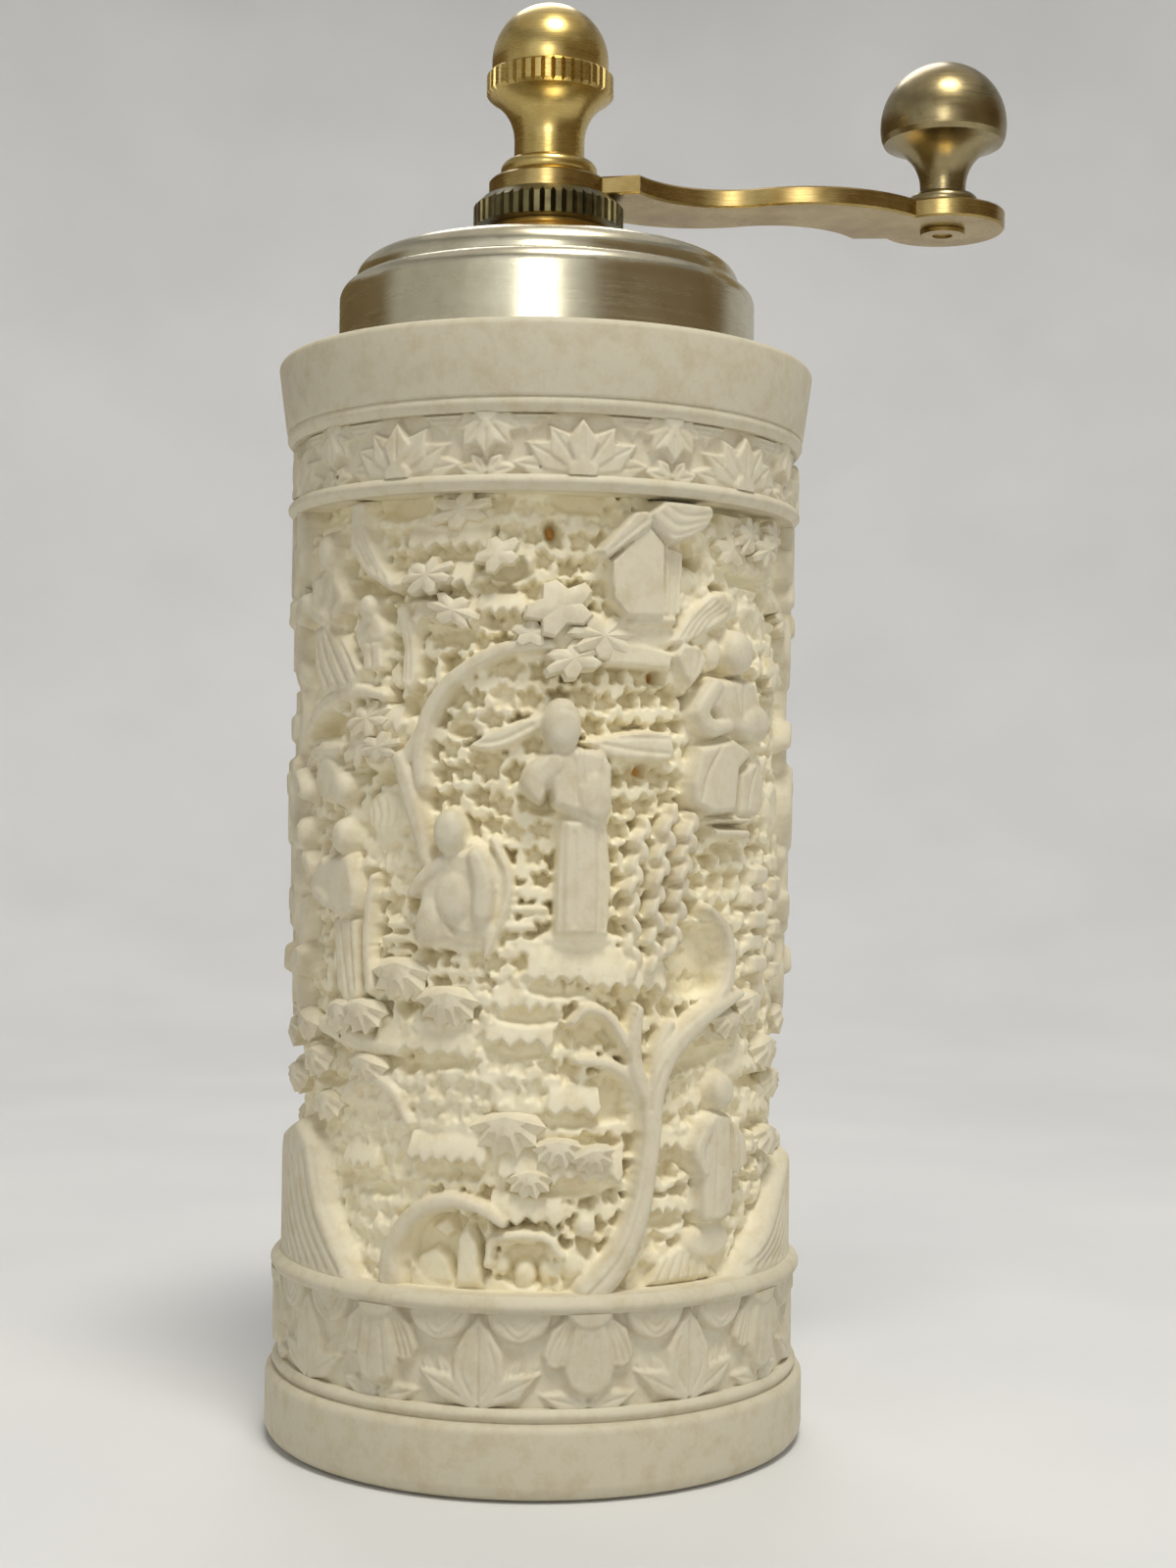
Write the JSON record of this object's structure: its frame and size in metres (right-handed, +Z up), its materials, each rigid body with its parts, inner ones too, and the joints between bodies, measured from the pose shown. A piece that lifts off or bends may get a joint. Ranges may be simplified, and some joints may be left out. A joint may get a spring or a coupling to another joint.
{
  "type": "pepper mill",
  "caption": "Cylindrical crank pepper mill with a deeply carved cast-resin body, a domed metal cap, an S-bent crank arm with a round knob, and a conical burr set by a knurled nut.",
  "frame": {"origin": "centre of the flat foot that the mill stands on", "axes": "+Z up along the spindle, +X from the spindle towards the crank knob"},
  "size_m": [0.0714, 0.0504, 0.135],
  "materials": {
    "cast_resin": "matte cast ivory-coloured resin with warmer hollows",
    "amber_liner": "smooth amber tube",
    "satin_plate": "pale champagne-coloured satin plating",
    "turned_brass": "turned brass",
    "polished_brass": "polished, lacquered",
    "aged_brass": "tarnished olive brown",
    "gold_plate": "bright pale gold plating",
    "zinc_steel": "bright zinc",
    "burr_steel": "hardened, dark",
    "spring_steel": "drawn wire"
  },
  "bodies": {
    "mill": {"carved_body": "cast_resin", "liner_tube": "amber_liner", "spindle_bridge": "zinc_steel", "bridge_bush": "turned_brass", "stator_burr": "burr_steel", "retaining_plate": "zinc_steel", "plate_screws": "zinc_steel"},
    "cap_set": {"dome_cap": "satin_plate", "cap_bush": "turned_brass", "bush_nut": "turned_brass", "thrust_washer": "turned_brass"},
    "crank_set": {"crank_arm": "gold_plate"},
    "finial": {"finial_nut": "polished_brass"},
    "adjuster": {"adjusting_nut": "aged_brass"},
    "knob": {"crank_knob": "gold_plate", "knob_rivet": "gold_plate"},
    "spring_seat": {"spring_cup": "zinc_steel", "rotor_spring": "spring_steel"},
    "spindle_set": {"spindle": "zinc_steel", "rotor_burr": "burr_steel", "rotor_washer": "zinc_steel", "rotor_nut": "zinc_steel"}
  },
  "joints": [
    {"name": "cap_lift", "type": "slide", "parent": "mill", "child": "cap_set", "axis": [0, 0, 1], "range_m": [0, 0.05]},
    {"name": "crank_spin", "type": "hinge", "parent": "cap_set", "child": "crank_set", "pos_m": [0, 0, 0.1171], "axis": [0, 0, 1], "continuous": true},
    {"name": "finial_lift", "type": "slide", "parent": "crank_set", "child": "finial", "axis": [0, 0, 1], "range_m": [0, 0.012]},
    {"name": "knob_spin", "type": "hinge", "parent": "crank_set", "child": "knob", "pos_m": [0.04, 0, 0.1181], "axis": [0, 0, 1], "continuous": true},
    {"name": "nut_turn", "type": "hinge", "parent": "crank_set", "child": "adjuster", "pos_m": [0, 0, 0.1148], "axis": [0, 0, 1], "range_deg": [-217, 217]},
    {"name": "grind_adjust", "type": "slide", "parent": "mill", "child": "spring_seat", "axis": [0, 0, 1], "range_m": [-0.0006, 0.0006], "deforming": ["rotor_spring"]},
    {"name": "spindle_spin", "type": "hinge", "parent": "spring_seat", "child": "spindle_set", "pos_m": [0, 0, 0.0046], "axis": [0, 0, 1], "continuous": true}
  ],
  "couplings": [
    {"joint": "spindle_spin", "follows": "crank_spin", "ratio": 1},
    {"joint": "nut_turn", "follows": "grind_adjust", "rad_per_m": -6283.2}
  ]
}
